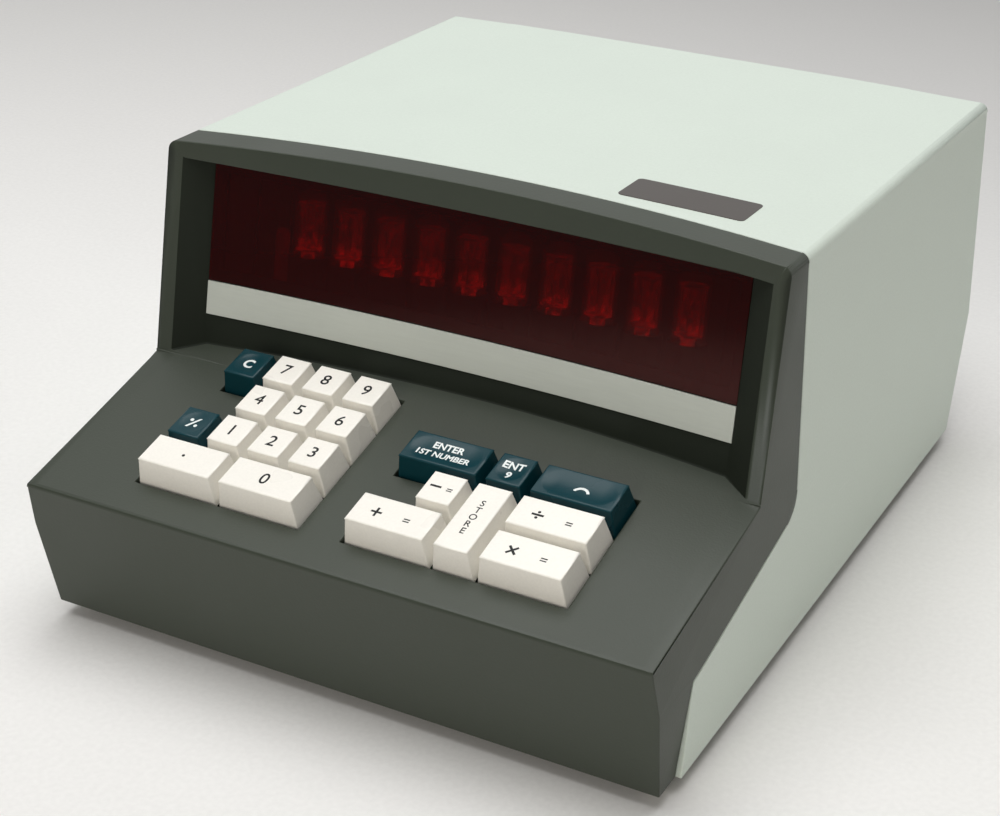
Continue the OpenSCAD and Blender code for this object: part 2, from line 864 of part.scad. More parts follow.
// Dark screen behind and beside the tubes
module tube_screen() {
    front = board_y + 1;
    half = board_half - 1;
    h = screen_top - tube_base;
    color("black")
        on_face() {
            translate([-half, screen_y, tube_base]) cube([2 * half, screen_t, h]);
            both_sides()
                translate([half - screen_t, front, tube_base])
                    cube([screen_t, screen_y + screen_t - front, h]);
        }
}

module keyboard_board() {
    color("darkgreen")
        on_deck()
            difference() {
                translate([-key_board_half, key_board_v, -key_board_w - board_t])
                    cube([2 * key_board_half, key_board_len, board_t]);
                for (b = key_bosses)
                    translate([b[0], b[1], -key_board_w - over])
                        cylinder(r = screw_r + screw_gap, h = 2 * over);
            }
}
module keyboard_screws() {
    color("silver")
        on_deck()
            for (b = key_bosses) translate([b[0], b[1], -key_board_w - board_t]) screw(board_t + 9);
}
module at_key(k) {
    x = col_x + (k[0] + (k[2] - 1) / 2) * key_pitch;
    v = row_start + (k[1] + (k[3] - 1) / 2) * row_pitch;
    translate([x, v, 0]) children();
}
// Switch module under each key, with a well for the key's stem
module key_switches() {
    well = stem_w + 2 * clear;
    color("black")
        on_deck()
            for (k = keys_at)
                at_key(k)
                    difference() {
                        translate([-switch_w / 2, -switch_w / 2, -key_board_w])
                            cube([switch_w, switch_w, switch_h]);
                        translate([-well / 2, -well / 2, well_floor - key_board_w])
                            cube([well, well, switch_h]);
                    }
}
// Tapered outline of a key's side with round top edges, w wide at the height of a full key
module key_outline(w, rise) {
    half = w / 2 + (key_rise - rise) * tan(key_draft);
    x = half - key_edge_r * (1 - sin(key_draft)) / cos(key_draft);
    z = rise - key_edge_r;
    side_x = x + key_edge_r * cos(key_draft);
    side_z = z + key_edge_r * sin(key_draft);
    base = w / 2 + skirt_out;
    polygon([[-base, -skirt], [base, -skirt], [side_x, side_z], [x, rise], [-x, rise], [-side_x, side_z]]);
    both_sides() translate([x, z]) circle(key_edge_r);
}
// Shallow hollow in a key's top, drawn out along the longer side
module key_dish(w, d, rise) {
    reach = min(w, d) / 2 - 0.9;
    ball = (reach * reach + dish * dish) / (2 * dish);
    long = max(w, d) - min(w, d);
    turn = d > w ? 90 : 0;
    translate([0, 0, rise - dish + ball])
        rotate([0, 0, turn]) {
            along_x(long + 0.01) circle(ball);
            for (s = [-1, 1]) translate([s * long / 2, 0, 0]) sphere(ball);
        }
}
// Key cap: a hollow tapered block with a stem that drops into its switch
module key(k, cap_colour, dished) {
    w = key_top_w + (k[2] - 1) * key_pitch;
    d = key_top_d + (k[3] - 1) * row_pitch;
    rise = dished ? key_rise - dish_drop : key_rise;
    roof = rise - roof_t;
    color(cap_colour)
        on_deck()
            at_key(k) {
                difference() {
                    intersection() {
                        along_x(2 * body_w) key_outline(d, rise);
                        translate([0, -body_d / 2, 0]) along_y(body_d) key_outline(w, rise);
                    }
                    translate([cap_t - w / 2, cap_t - d / 2, -skirt - 1])
                        cube([w - 2 * cap_t, d - 2 * cap_t, roof + skirt + 1]);
                    if (dished) key_dish(w, d, rise);
                }
                translate([-stem_w / 2, -stem_w / 2, -stem_end])
                    cube([stem_w, stem_w, stem_end + roof + root]);
            }
}
module white_key(k) key(k, "ivory", false);
module blue_key(k) key(k, "darkslategray", true);

module board_standoffs() {
    color("gold") {
        for (x = [-1, 1], y = [plane_y + 5, plane_y + plane_len - 5]) standoff(x * (plane_half - 5), y);
        for (x = [-1, 1], y = [-1, 1])
            standoff(power_at[0] + x * (power_size[0] / 2 - 4), power_at[1] + y * (power_size[1] / 2 - 4));
    }
}
module standoff(x, y) translate([x, y, z_pan]) cylinder(r = standoff_r, h = standoff_h);
module backplane() {
    color("darkgreen")
        translate([-plane_half, plane_y, plane_z]) cube([2 * plane_half, plane_len, board_t]);
}
module at_cards() {
    for (n = [0 : cards - 1]) translate([0, card_y + n * card_pitch, plane_z + board_t]) children();
}
module card_sockets() {
    slot = board_t + 0.2;
    color("steelblue")
        at_cards()
            difference() {
                translate([-card_half - 3, -socket_w / 2, 0]) cube([2 * card_half + 6, socket_w, socket_h]);
                translate([-card_half - seat, -slot / 2, slot_z])
                    cube([2 * card_half + 2 * seat, slot, socket_h]);
            }
}
module logic_cards() {
    color("darkgreen")
        at_cards() translate([-card_half, -board_t / 2, slot_z]) cube([2 * card_half, board_t, card_h]);
}
// Packages in rows on the front of each card
module card_chips() {
    color("black")
        at_cards()
            for (c = [0 : chip_cols - 1], r = [0 : chip_rows - 1]) {
                x = (c - (chip_cols - 1) / 2) * chip_pitch[0] - chip[0] / 2;
                translate([x, -board_t / 2 - chip[1], chip_z + r * chip_pitch[1]]) cube(chip);
            }
}
// Slotted rails that steady the sides of the cards
module card_rails() {
    slot = board_t + 0.2;
    long = cards * card_pitch;
    both_sides()
        color("lightgray")
            difference() {
                translate([card_half - 2, card_y - card_pitch / 2, plane_z + board_t + socket_h])
                    cube([rail_w, long, card_h - 14]);
                at_cards() translate([card_half - 3, -slot / 2, 0]) cube([3 + seat, slot, 2 * card_h]);
            }
}
module transformer_core() {
    color("slategray")
        translate([transformer_at[0], transformer_at[1], z_pan])
            difference() {
                translate([-core[0] / 2, -core[1] / 2, 0]) cube(core);
                both_sides()
                    translate([core_leg, -core[1], core_yoke]) cube([core_win[0], 2 * core[1], core_win[1]]);
            }
}
module transformer_coil() {
    leg = core_leg + seat;
    half = core_leg + core_win[0] - seat;
    color("peru")
        translate([transformer_at[0], transformer_at[1], z_pan + core_yoke + seat])
            difference() {
                translate([-half, -core[1] / 2 - coil_out, 0])
                    cube([2 * half, core[1] + 2 * coil_out, core_win[1] - 2 * seat]);
                translate([-leg, -core[1] / 2 - seat, -1])
                    cube([2 * leg, core[1] + 2 * seat, core_win[1] + 2]);
            }
}
module power_board() {
    color("darkgreen")
        translate([power_at[0] - power_size[0] / 2, power_at[1] - power_size[1] / 2, plane_z])
            cube([power_size[0], power_size[1], board_t]);
}
module smoothing_cans() {
    color("steelblue")
        for (n = [-1 : 1])
            translate([power_at[0] + n * can_pitch - 6, power_at[1] - 6, plane_z + board_t])
                cylinder(r = can_r, h = can_h);
}

front_bezel();
top_cover();
base_pan();
rear_panel();
feet();
foot_screws();
case_screws();
panel_screws();
display_window();
name_strip();
display_board();
display_screws();
tube_sockets();
tube_glass();
tube_electrodes();
indicator_lamp();
tube_screen();
keyboard_board();
keyboard_screws();
key_switches();
white_key(zero_at);  // key_0
white_key(digits_at[0]);  // key_1
white_key(digits_at[1]);  // key_2
white_key(digits_at[2]);  // key_3
white_key(digits_at[3]);  // key_4
white_key(digits_at[4]);  // key_5
white_key(digits_at[5]);  // key_6
white_key(digits_at[6]);  // key_7
white_key(digits_at[7]);  // key_8
white_key(digits_at[8]);  // key_9
white_key(point_at);  // key_point
blue_key(percent_at);  // key_percent
blue_key(clear_at);  // key_clear
white_key(plus_at);  // key_plus
white_key(minus_at);  // key_minus
white_key(times_at);  // key_times
white_key(divide_at);  // key_divide
white_key(store_at);  // key_store
blue_key(enter_at);  // key_enter
blue_key(ent_at);  // key_ent
blue_key(arc_at);  // key_arc
board_standoffs();
backplane();
card_sockets();
logic_cards();
card_chips();
card_rails();
transformer_core();
transformer_coil();
power_board();
smoothing_cans();
mains_inlet();
inlet_pins();
fuse_holder();
fuse_cap();
power_switch();
power_rocker();
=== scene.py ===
import contextlib
import json
import math

import bpy
from mathutils import Matrix, Vector


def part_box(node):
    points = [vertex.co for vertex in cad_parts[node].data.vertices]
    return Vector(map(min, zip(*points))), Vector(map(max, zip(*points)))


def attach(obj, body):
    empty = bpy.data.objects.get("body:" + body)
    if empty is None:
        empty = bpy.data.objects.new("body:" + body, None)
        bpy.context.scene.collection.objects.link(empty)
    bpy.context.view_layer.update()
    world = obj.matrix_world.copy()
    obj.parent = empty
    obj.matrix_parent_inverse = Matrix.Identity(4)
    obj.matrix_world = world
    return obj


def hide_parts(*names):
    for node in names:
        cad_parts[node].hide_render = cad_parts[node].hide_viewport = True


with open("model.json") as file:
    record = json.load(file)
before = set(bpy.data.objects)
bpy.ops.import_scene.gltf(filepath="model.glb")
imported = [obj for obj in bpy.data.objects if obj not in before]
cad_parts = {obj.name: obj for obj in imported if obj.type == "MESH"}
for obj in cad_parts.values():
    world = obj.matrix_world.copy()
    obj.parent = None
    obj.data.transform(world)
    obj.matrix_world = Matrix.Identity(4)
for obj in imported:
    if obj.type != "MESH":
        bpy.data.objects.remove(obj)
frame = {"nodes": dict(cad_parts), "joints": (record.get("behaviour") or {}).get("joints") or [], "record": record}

bl_info = {
    "name": "Glow tube calculator",
    "version": (1, 0, 0),
    "blender": (4, 5, 0),
    "location": "View3D > Sidebar > Calculator",
    "description": "Dresses the frame of a desk calculator with its finishes, legends and stage",
    "category": "Object",
}

MM = 0.001

# Working limits: points that are one, faces that are one plane, edges and faces that count as long, wide or
# sharp, width that a face needs beside a rounded edge in parts of its radius, depth of what counts as a key's
# top, reach of a corner
MERGE = 0.004 * MM
TEXT_MERGE = 1e-5
PLANE_ANGLE = math.radians(0.02)
SHARP_ANGLE = math.radians(3)
LONG_EDGE = 2.5 * MM
WIDE_FACE = 3 * MM
EDGE_ROOM = 1.5
TOP_DEPTH = 0.05 * MM
CORNER_REACH = 1e-6

# Edge radii of the smaller pieces
SHEET_EDGE = 0.3 * MM
FOOT_EDGE = 0.6 * MM
SCREW_EDGE = 0.25 * MM
WINDOW_EDGE = 0.15 * MM
STRIP_EDGE = 0.2 * MM
FITTING_EDGE = 0.35 * MM

# Legends and label plate: height over the surface, thickness, growth of the strokes in parts of the text size
LEGEND_LIFT = 0.03 * MM
LEGEND_THICK = 0.04 * MM
LABEL_LIFT = 0.25 * MM
LABEL_THICK = 0.4 * MM
BLUE_KEY_BOLD = 0.03
WHITE_KEY_BOLD = 0.008

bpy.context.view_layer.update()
SLOT_OF = {part["node"]: part["material_slot"] for part in frame["record"]["subparts"]}
BODY_OF = {node: body for body, nodes in frame["record"]["behaviour"]["bodies"].items() for node in nodes}
KEY_NODES = sorted(node for node in frame["nodes"] if node.startswith("key_") and node != "key_switches")
BLUE_KEYS = ("key_percent", "key_clear", "key_enter", "key_ent", "key_arc")
PRESS_AXIS = next(Vector(j["axis"]) for j in frame["joints"] if j["name"] == "press_0")

# The faces inside this display recess get the painted shade
# Display face of the bezel, in millimetres and degrees: Y and Z of its foot, backward lean, height,
# half width, radius of its hollow, depth of the recess, what its lip leaves plain in depth, height and width,
# how squarely a face has to lie to the keys' travel to count as deck
FACE_FOOT = (-80.2, 86.74)
FACE_LEAN = 13.3
FACE_H = 89
FACE_HALF = 138
FACE_R = 1050
RECESS = 12
LIP_DEPTH = 0.4
LIP_HEIGHT = 0.5
LIP_WIDTH = 4
DECK_LEVEL = 0.98

# Text, millimetres to the right and up the deck from the middle of the key's top, height in millimetres
LEGENDS = {f"key_{n}": [(str(n), 0, 0, 5.7)] for n in range(10)}
LEGENDS.update({
    "key_point": [(".", 0, 0, 1.3)],
    "key_plus": [("+", -6.7, -0.6, 4.6), ("=", 6.3, -0.8, 1.7)],
    "key_minus": [("−", -2.4, 0, 0.95), ("=", 3.6, -0.4, 1.5)],
    "key_times": [("×", -6.7, -0.4, 4.4), ("=", 6.3, -0.8, 1.7)],
    "key_divide": [("÷", -6.7, -0.4, 4.2), ("=", 6.3, -0.8, 1.7)],
    "key_store": [(letter, 0, 7.6 - 3.8 * n, 3.0) for n, letter in enumerate("STORE")],
    "key_clear": [("C", 0, 0, 5.0)],
    "key_percent": [("⁒", 0, 0, 5.6)],
    "key_enter": [("ENTER", 0, 2.5, 3.3), ("1ST NUMBER", 0, -2.3, 3.1)],
    "key_ent": [("ENT", 0, 2.2, 3.6), ("9", 0, -2.9, 3.7)],
})

# Arc sign: place and height as for the text, and on a circle of radius 1 the height of its ends, the size of its
# inner edge and the height that this edge shrinks to
ARC_PLACE = (1.5, -0.6, 2.7)
ARC_ENDS = 0.35
ARC_INNER = 0.68
ARC_CENTRE = 0.06

# Grained finishes: size in millimetres of the soft clouds and of the drawn-out scuffs, swing of the roughness
# round its mean, depth of the grain
CLOUD_SIZE = 38
SCUFF_SIZE = 3.2
ROUGH_SWING = 0.07
GRAIN_DEPTH = 0.15 * MM

# Name, place, point it faces, side in metres, power in watts, tint, whether polished faces mirror it
LIGHTS = (
    ("top_softbox", (-0.12, 0.08, 1.85), (0, 0, 0.1), 1.8, 33.5, "#FFFFFF", True),
    ("right_softbox", (1.8, -0.35, 0.9), (0, 0, 0.05), 1.2, 2, "#FFF1DC", True),
    ("front_softbox", (0.2, -2.4, 0.8), (0, 0, 0.1), 1.0, 17, "#FFF8EC", False),
)

# Surround: its light on everything, what the eye sees added, what polished faces see added towards the back
SURROUND_LIGHT = 0.17
SURROUND_SEEN = 0.33
SURROUND_MIRRORED = 0.55

# Floor paper: side in metres, where its painted shade begins and ends behind the object and how dark it gets,
# where it blends into the surround and how bright it is there
FLOOR_SIZE = 14
SHADE_REACH = (0.1, 1.0)
SHADE_DEPTH = 0.52
BLEND_REACH = (0.9, 2.2)
BLEND_LIGHT = 0.42

# Camera, solved from the photograph: place in metres, heading, downward tilt and roll in degrees, lens and
# sensor in millimetres, shift in parts of the width
CAMERA_PLACE = (0.38567, -0.69689, 0.48491)
CAMERA_HEADING = 28.1776
CAMERA_TILT = 26.5135
CAMERA_ROLL = -0.2705
CAMERA_LENS = 75.5765
CAMERA_SENSOR = 36
CAMERA_SHIFT = (-0.06117, -0.06997)


def linear(code):
    """Turns an sRGB hex colour into linear RGBA."""
    values = [int(code[i:i + 2], 16) / 255 for i in (1, 3, 5)]
    return [v / 12.92 if v <= 0.04045 else ((v + 0.055) / 1.055) ** 2.4 for v in values] + [1.0]


def shade(colour, factor):
    """The same colour, lighter or darker by a factor."""
    return [min(1.0, c * factor) for c in colour[:3]] + [1.0]


def per_mm(size):
    """Texture scale that gives features of a size in millimetres."""
    return 1 / (size * MM)


def add_node(tree, kind, settings=None, links=None):
    """Adds a node, sets its properties and sockets, and links other outputs into it."""
    node = tree.nodes.new(kind)
    for key, value in (settings or {}).items():
        if isinstance(key, int) or key in node.inputs:
            node.inputs[key].default_value = value
        else:
            setattr(node, key, value)
    for key, output in (links or {}).items():
        tree.links.new(output, node.inputs[key])
    return node


def new_material(name):
    """A material with an empty node tree and its Object coordinates."""
    material = bpy.data.materials.new(name)
    material.use_nodes = True
    material.node_tree.nodes.clear()
    place = add_node(material.node_tree, "ShaderNodeTexCoord").outputs["Object"]
    return material, material.node_tree, place


def grained(name, colour, rough, grain, relief, settings=None, mottle=0.9, scuff=0.0, stretch=(1, 1, 1)):
    """A finish with a fine grain in millimetres, soft mottling, uneven gloss and pale scuffs."""
    material, tree, place = new_material(name)
    turned = add_node(tree, "ShaderNodeMapping", {"Scale": stretch}, {"Vector": place}).outputs["Vector"]
    cloud = add_node(tree, "ShaderNodeTexNoise", {"Scale": per_mm(CLOUD_SIZE), "Detail": 3}, {"Vector": place})
    fine = add_node(tree, "ShaderNodeTexNoise", {"Scale": per_mm(grain), "Detail": 2}, {"Vector": turned})
    tone = add_node(tree, "ShaderNodeMix", {"data_type": "RGBA", 6: shade(colour, mottle), 7: colour},
                    {0: cloud.outputs["Fac"]}).outputs[2]
    speck = add_node(tree, "ShaderNodeMapRange",
                     {"From Min": 0.3, "From Max": 0.7, "To Min": 0, "To Max": 0.22},
                     {"Value": fine.outputs["Fac"]})
    tone = add_node(tree, "ShaderNodeMix", {"data_type": "RGBA", 7: shade(colour, 0.8)},
                    {0: speck.outputs[0], 6: tone}).outputs[2]
    if scuff:
        drawn = add_node(tree, "ShaderNodeMapping", {"Scale": (1, 0.12, 1), "Rotation": (0, 0, 0.6)},
                         {"Vector": place}).outputs["Vector"]
        lines = add_node(tree, "ShaderNodeTexNoise", {"Scale": per_mm(SCUFF_SIZE), "Detail": 4},
                         {"Vector": drawn})
        worn = add_node(tree, "ShaderNodeMapRange", {"From Min": 0.66, "From Max": 0.78, "To Max": scuff},
                        {"Value": lines.outputs["Fac"]})
        tone = add_node(tree, "ShaderNodeMix", {"data_type": "RGBA", 7: shade(colour, 1.5)},
                        {0: worn.outputs[0], 6: tone}).outputs[2]
    gloss = add_node(tree, "ShaderNodeMapRange", {"To Min": rough - ROUGH_SWING, "To Max": rough + ROUGH_SWING},
                     {"Value": cloud.outputs["Fac"]})
    bump = add_node(tree, "ShaderNodeBump", {"Strength": relief, "Distance": GRAIN_DEPTH},
                    {"Height": fine.outputs["Fac"]})
    shader = add_node(tree, "ShaderNodeBsdfPrincipled", settings,
                      {"Base Color": tone, "Roughness": gloss.outputs[0], "Normal": bump.outputs[0]})
    add_node(tree, "ShaderNodeOutputMaterial", {}, {"Surface": shader.outputs["BSDF"]})
    return material


def make_finishes():
    """Makes each finish once, under the name of the record's material slot."""
    c = bpy.context.scene.calculator_colours
    steel = {"Metallic": 1.0}
    dull = {"Specular IOR Level": 0.25}
    satin = {"Specular IOR Level": 0.4}
    return {
        # ABS moulded in a spark-eroded tool: satin olive grey with a fine even grain, drawn coarser to show
        "dark_moulding": grained("Moulded_ABS_olive_grey", c.bezel, 0.45, 0.9, 0.35, satin, scuff=0.12),
        # Painted shade inside the display recess: a green-black, dull finish that stands in for the shade falling
        # there
        "recess_painted_shade": grained("Painted_shade_recess_green_black", c.recess, 0.7, 0.9, 0.3, dull),
        # ABS moulded in a textured tool: pale grey-green, silky, with faint handling marks
        "pale_moulding": grained("Moulded_ABS_pale_green", c.cover, 0.46, 1.0, 0.25, dull, mottle=0.95,
                                  scuff=0.05),
        # Sheet steel under baked enamel: dark grey with a slight orange peel
        "grey_steel": grained("Enamelled_steel_grey", linear("#55565A"), 0.42, 2.2, 0.15, scuff=0.1),
        # Moulded nitrile rubber: black and dull
        "rubber": grained("Nitrile_rubber_black", linear("#1B1B1B"), 0.82, 1.2, 0.4),
        # Turned steel with bright zinc plating: streaked reflections
        "bright_screw": grained("Zinc_plated_steel", linear("#C9CBCC"), 0.3, 0.6, 0.2, steel,
                                stretch=(1, 1, 0.2)),
        "red_filter": red_acrylic(c.window),
        # Aluminium sheet, brushed along its length and anodised: satin with long fine lines
        "silver_strip": grained("Brushed_anodised_aluminium", c.strip, 0.4, 0.9, 0.25, {"Metallic": 0.3},
                                 stretch=(0.03, 1, 1)),
        # Glass fibre laminate under green lacquer: woven look in a semi gloss
        "circuit_board": grained("Lacquered_laminate_green", linear("#2F5A36"), 0.35, 1.4, 0.2),
        # Phenolic moulding: black with a soft sheen
        "black_plastic": grained("Phenolic_moulding_black", linear("#181817"), 0.42, 0.8, 0.25),
        "tube_glass": clear_glass("Soda_glass_clear", linear("#E8F0F2")),
        "electrode_metal": glowing_nickel(),
        "lamp_glass": neon_glow(),
        # Steel sheet sprayed matt black: swallows light
        "black_sheet": grained("Matt_black_steel", linear("#0E0D0D"), 0.85, 1.0, 0.3),
        # Drawn brass: yellow metal with fine draw lines
        "brass": grained("Drawn_brass", linear("#B88F4A"), 0.28, 0.7, 0.2, steel, stretch=(1, 1, 0.1)),
        # Glass-filled nylon: blue and dull
        "blue_plastic": grained("Filled_nylon_blue", linear("#3C5C94"), 0.5, 1.0, 0.25),
        # Polypropylene: grey-white and waxy
        "rail_plastic": grained("Polypropylene_grey", linear("#BFC0BC"), 0.45, 1.3, 0.15),
        # Stacked iron sheets under lacquer: close lines along the stack
        "laminations": grained("Lacquered_iron_sheets", linear("#5B5A58"), 0.5, 1.0, 0.6,
                               stretch=(0.05, 1, 0.05)),
        # Waxed paper round a coil: amber with a slight sheen
        "coil_wrap": grained("Waxed_paper_amber", linear("#A9752F"), 0.4, 2.5, 0.3),
        # Shrink sleeve over an aluminium can: blue and slightly glossy
        "can_sleeve": grained("Shrink_sleeve_blue", linear("#5C77A3"), 0.34, 1.6, 0.1),
        # Polished nylon: red
        "red_rocker": grained("Polished_nylon_red", linear("#8E1F1C"), 0.25, 1.5, 0.05),
        # Double-shot ABS key: warm white, glossy, faintly yellowed in patches
        "white_key": grained("Glossy_ABS_warm_white", c.white_key, 0.3, 1.1, 0.08, mottle=0.93),
        # Double-shot ABS key: deep teal, smooth with a weak gloss
        "blue_key": grained("Glossy_ABS_deep_teal", c.blue_key, 0.26, 1.1, 0.1, dull, mottle=0.8),
        # Moulded-in legend plastic
        "black_ink": grained("Legend_ABS_black", c.black_ink, 0.4, 0.8, 0.05, dull),
        "white_ink": grained("Legend_ABS_white", c.white_ink, 0.4, 0.8, 0.05, mottle=0.95),
        # Engraving laminate: dark brown satin sheet
        "label_sheet": grained("Engraving_laminate_brown", c.label, 0.38, 0.7, 0.15, stretch=(0.15, 1, 1)),
    }


def red_acrylic(colour):
    """Cast acrylic dyed deep red and polished: a mirror-like front through which only red light passes."""
    material, tree, place = new_material("Cast_acrylic_red")
    haze = add_node(tree, "ShaderNodeTexNoise", {"Scale": per_mm(45), "Detail": 2}, {"Vector": place})
    rough = add_node(tree, "ShaderNodeMapRange", {"To Min": 0.0, "To Max": 0.035},
                     {"Value": haze.outputs["Fac"]})
    shader = add_node(tree, "ShaderNodeBsdfPrincipled",
                      {"Base Color": list(colour), "IOR": 1.49, "Specular IOR Level": 0.12,
                       "Transmission Weight": 0.92, "Specular Tint": linear("#FFC0BA")},
                      {"Roughness": rough.outputs[0]})
    add_node(tree, "ShaderNodeOutputMaterial", {}, {"Surface": shader.outputs["BSDF"]})
    return material


def clear_glass(name, colour):
    """Blown soda glass, seen as a thin clear skin with sharp highlights."""
    material, tree, place = new_material(name)
    film = add_node(tree, "ShaderNodeTexNoise", {"Scale": per_mm(9), "Detail": 2}, {"Vector": place})
    rough = add_node(tree, "ShaderNodeMapRange", {"To Min": 0.03, "To Max": 0.1},
                     {"Value": film.outputs["Fac"]})
    shader = add_node(tree, "ShaderNodeBsdfPrincipled", {"Base Color": colour, "IOR": 1.5, "Alpha": 0.22},
                      {"Roughness": rough.outputs[0]})
    add_node(tree, "ShaderNodeOutputMaterial", {}, {"Surface": shader.outputs["BSDF"]})
    return material


def glowing_nickel():
    """Oxidised nickel wire and gauze, with a dim patchy glow painted on as light, brightest at the foot of each
    tube, that shows the tubes through the dark window.
    """
    material, tree, place = new_material("Oxidised_nickel_painted_glow")
    gauze = add_node(tree, "ShaderNodeTexVoronoi", {"Scale": per_mm(0.9)}, {"Vector": place})
    patch = add_node(tree, "ShaderNodeTexNoise", {"Scale": per_mm(3.5), "Detail": 4}, {"Vector": place})
    low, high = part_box("tube_electrodes")
    tall = high.z - low.z
    height = add_node(tree, "ShaderNodeSeparateXYZ", {}, {"Vector": place}).outputs["Z"]
    foot = add_node(tree, "ShaderNodeMapRange",
                    {"From Min": low.z + 0.1 * tall, "From Max": low.z + 0.4 * tall,
                     "To Min": 1.8, "To Max": 0.4}, {"Value": height})
    spots = add_node(tree, "ShaderNodeMapRange",
                     {"From Min": 0.38, "From Max": 0.68, "To Min": 0.12, "To Max": 1.0},
                     {"Value": patch.outputs["Fac"]})
    # Painted light: emission that stands in for light on the electrodes, brightest at the foot of each tube
    glow = add_node(tree, "ShaderNodeMath", {"operation": "MULTIPLY"},
                    {0: foot.outputs[0], 1: spots.outputs[0]})
    rough = add_node(tree, "ShaderNodeMapRange", {"To Min": 0.35, "To Max": 0.6},
                     {"Value": gauze.outputs["Distance"]})
    shader = add_node(tree, "ShaderNodeBsdfPrincipled",
                      {"Base Color": linear("#8A8682"), "Metallic": 0.6, "Emission Color": linear("#FF4A20")},
                      {"Roughness": rough.outputs[0], "Emission Strength": glow.outputs[0]})
    add_node(tree, "ShaderNodeOutputMaterial", {}, {"Surface": shader.outputs["BSDF"]})
    return material


def neon_glow():
    """Small neon bulb: clear glass with an orange glow inside."""
    material, tree, place = new_material("Neon_bulb_orange")
    cloud = add_node(tree, "ShaderNodeTexNoise", {"Scale": per_mm(4), "Detail": 2}, {"Vector": place})
    glow = add_node(tree, "ShaderNodeMapRange", {"To Min": 0.03, "To Max": 0.08},
                    {"Value": cloud.outputs["Fac"]})
    shader = add_node(tree, "ShaderNodeBsdfPrincipled",
                      {"Base Color": linear("#B0482A"), "Roughness": 0.15, "Emission Color": linear("#FF6A2A")},
                      {"Emission Strength": glow.outputs[0]})
    add_node(tree, "ShaderNodeOutputMaterial", {}, {"Surface": shader.outputs["BSDF"]})
    return material


def studio_paper(colour):
    """Laid paper: pale, dull, with a soft tooth. Its colour is painted darker behind the object, a painted shade,
    and far away it blends into the surround, for the eye only."""
    material = grained("Paper_pale_grey", colour, 0.9, 2.4, 0.2,
                       {"Specular IOR Level": 0.1, "Emission Color": list(colour)}, mottle=0.98)
    tree = material.node_tree
    place = add_node(tree, "ShaderNodeTexCoord").outputs["Object"]
    shader = tree.nodes["Principled BSDF"]
    # Painted shade: the paper's colour darkens towards the back, behind the object
    rear = add_node(tree, "ShaderNodeSeparateXYZ", {}, {"Vector": place}).outputs["Y"]
    painted_shade_mask = add_node(tree, "ShaderNodeMapRange", {"From Min": SHADE_REACH[0], "From Max": SHADE_REACH[1]},
                    {"Value": rear})
    tone = shader.inputs["Base Color"].links[0].from_socket
    painted_shade_mix = add_node(tree, "ShaderNodeMix", {"data_type": "RGBA", 7: shade(colour, SHADE_DEPTH)},
                   {0: painted_shade_mask.outputs[0], 6: tone})
    tree.links.new(painted_shade_mix.outputs[2], shader.inputs["Base Color"])
    away = add_node(tree, "ShaderNodeVectorMath", {"operation": "LENGTH"}, {0: place}).outputs["Value"]
    fade = add_node(tree, "ShaderNodeMapRange",
                    {"From Min": BLEND_REACH[0], "From Max": BLEND_REACH[1], "To Max": BLEND_LIGHT},
                    {"Value": away})
    rays = add_node(tree, "ShaderNodeLightPath").outputs
    glow = add_node(tree, "ShaderNodeMath", {"operation": "MULTIPLY"},
                    {0: fade.outputs[0], 1: rays["Is Camera Ray"]})
    tree.links.new(glow.outputs[0], shader.inputs["Emission Strength"])
    return material


FINISH = {}


def finish(piece, name):
    """Gives a piece one finish."""
    if not FINISH:
        FINISH.update(make_finishes())
    piece.data.materials.clear()
    piece.data.materials.append(FINISH[name])


def alone(piece):
    """Selects one object only and makes it active."""
    bpy.ops.object.select_all(action="DESELECT")
    piece.select_set(True)
    bpy.context.view_layer.objects.active = piece


@contextlib.contextmanager
def editing(action=None):
    """Edit mode on the active object, with everything selected, nothing, or what was selected before."""
    bpy.ops.object.mode_set(mode="EDIT")
    if action:
        bpy.ops.mesh.select_all(action=action)
    yield
    bpy.ops.object.mode_set(mode="OBJECT")


def apply_modifier(piece, kind, **settings):
    """Adds a modifier with its settings and applies it."""
    modifier = piece.modifiers.new(kind.title(), kind)
    for key, value in settings.items():
        setattr(modifier, key, value)
    alone(piece)
    bpy.ops.object.modifier_apply(modifier=modifier.name)


def edge_facts(mesh):
    """For each edge: its length, the angle across it and the width of the narrower face beside it."""
    spots = [v.co.copy() for v in mesh.vertices]
    beside = {}
    for face in mesh.polygons:
        around = sum((spots[a] - spots[b]).length for a, b in face.edge_keys)
        for pair in face.edge_keys:
            beside.setdefault(pair, []).append((face.normal.copy(), 2 * face.area / around))
    facts = []
    for line in mesh.edges:
        a, b = line.vertices
        (one, wide), (other, broad) = beside[tuple(sorted((a, b)))]
        facts.append(((spots[a] - spots[b]).length, one.angle(other, 0), min(wide, broad)))
    return facts


def round_edges(piece, edge, segments, corner):
    """Rounds each edge that is long and sharp between faces wide enough for the radius."""
    with editing():
        bpy.ops.mesh.select_mode(type="EDGE")
        bpy.ops.mesh.select_all(action="DESELECT")
    for line, (length, angle, width) in zip(piece.data.edges, edge_facts(piece.data)):
        line.select = length > LONG_EDGE and angle > math.radians(corner) and width > EDGE_ROOM * edge
    with editing():
        bpy.ops.mesh.bevel(offset=edge, segments=segments, affect="EDGES", clamp_overlap=False)
        bpy.ops.mesh.select_mode(type="VERT")


